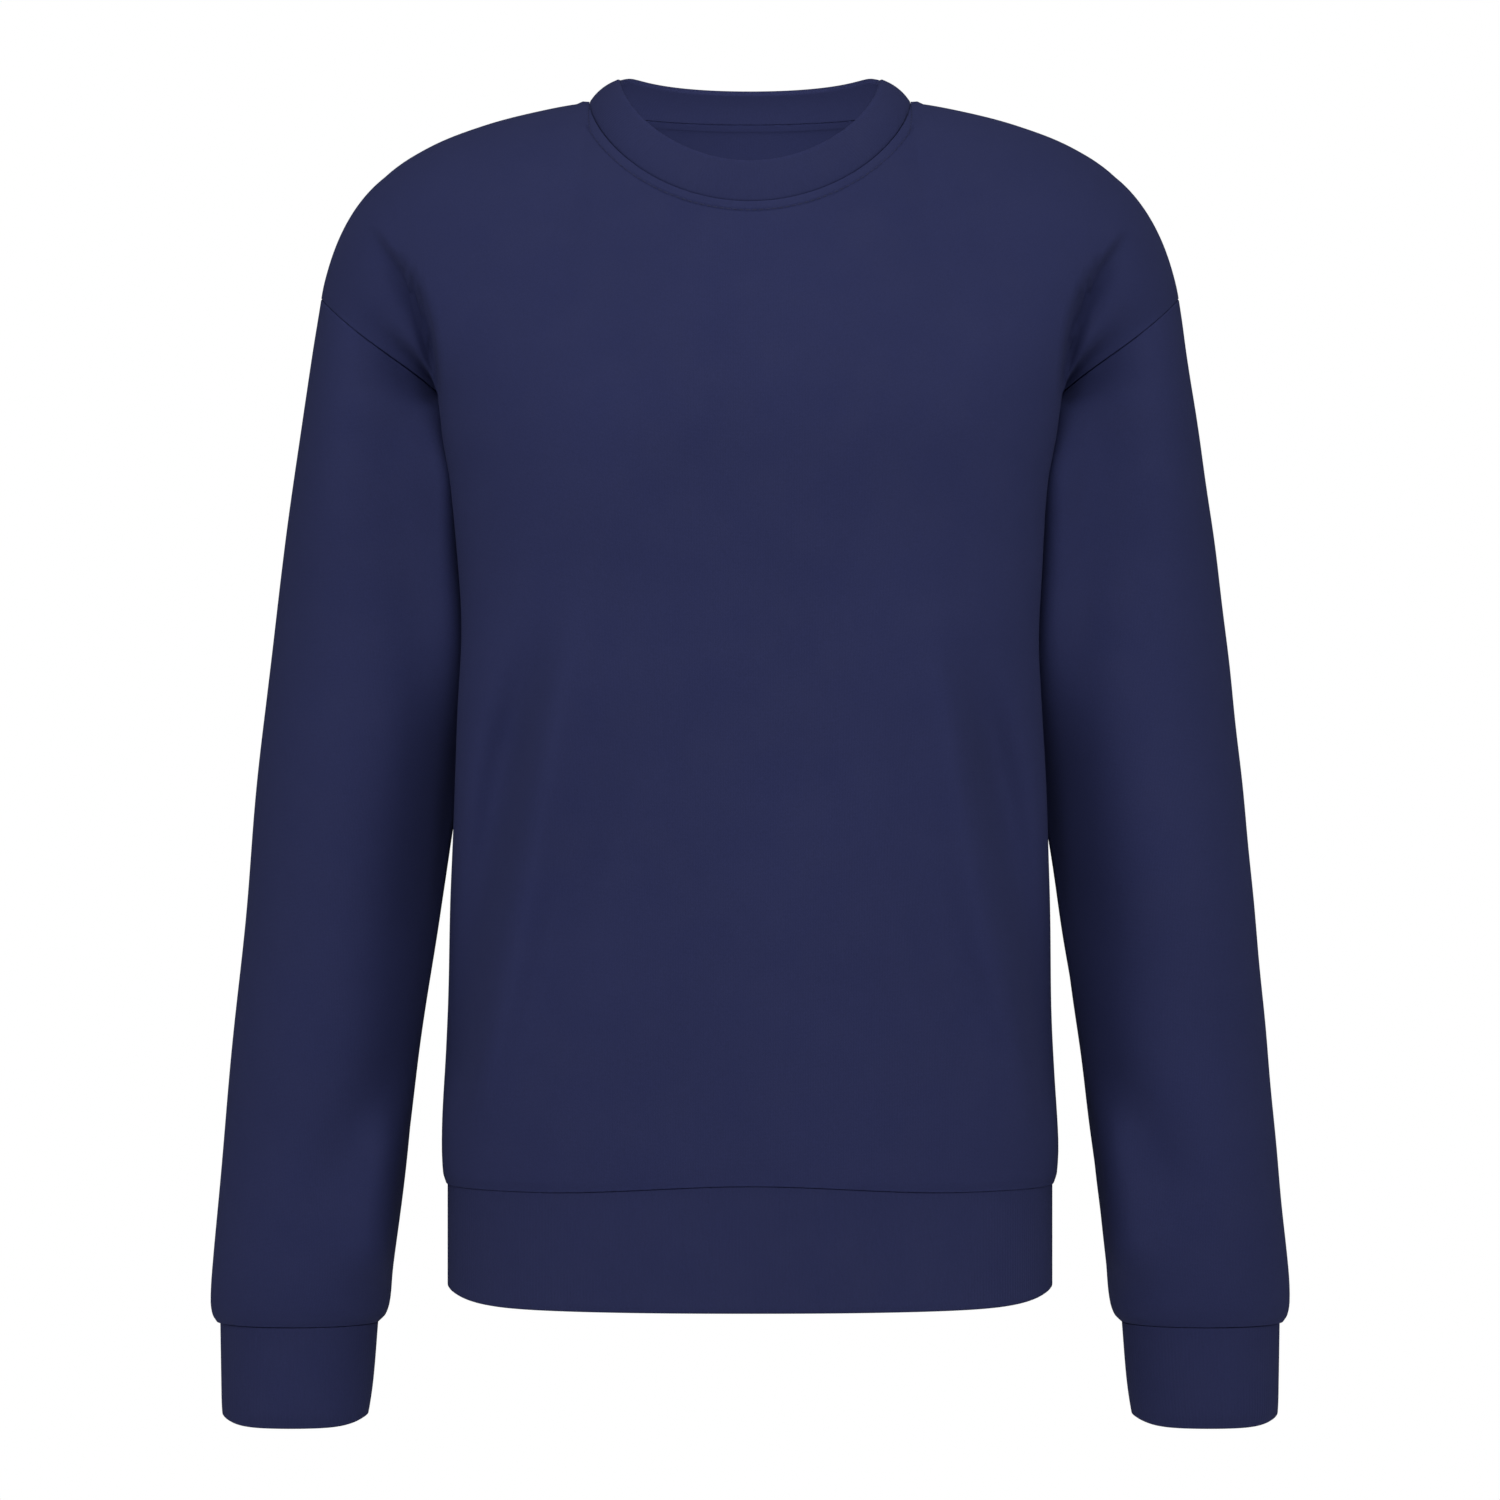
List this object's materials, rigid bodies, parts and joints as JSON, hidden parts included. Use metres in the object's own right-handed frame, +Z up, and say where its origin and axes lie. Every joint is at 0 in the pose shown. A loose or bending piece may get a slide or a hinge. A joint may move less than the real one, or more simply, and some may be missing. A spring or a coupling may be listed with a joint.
{
  "type": "crew-neck sweatshirt",
  "caption": "Plain long-sleeved crew-neck sweatshirt with dropped shoulders, filled out as if worn, with rib collar, cuffs and hem band.",
  "frame": {"origin": "between the two neck points, where the shoulder seams meet the collar, in the plane of the side seams", "axes": "+X towards the wearer's left, -Y towards the front of the garment, +Z up"},
  "size_m": [0.6036, 0.246, 0.7553],
  "materials": {
    "front": "smooth navy sweatshirt jersey",
    "back": "smooth navy sweatshirt jersey",
    "sleeve_left": "smooth navy sweatshirt jersey",
    "sleeve_right": "smooth navy sweatshirt jersey",
    "cuff_left": "navy rib, folded double",
    "cuff_right": "navy rib, folded double",
    "hem_band": "navy rib, folded double",
    "collar": "navy rib, folded double"
  },
  "bodies": {
    "root": {"front": "front", "back": "back", "sleeve_left": "sleeve_left", "sleeve_right": "sleeve_right", "cuff_left": "cuff_left", "cuff_right": "cuff_right", "hem_band": "hem_band", "collar": "collar"}
  },
  "joints": []
}
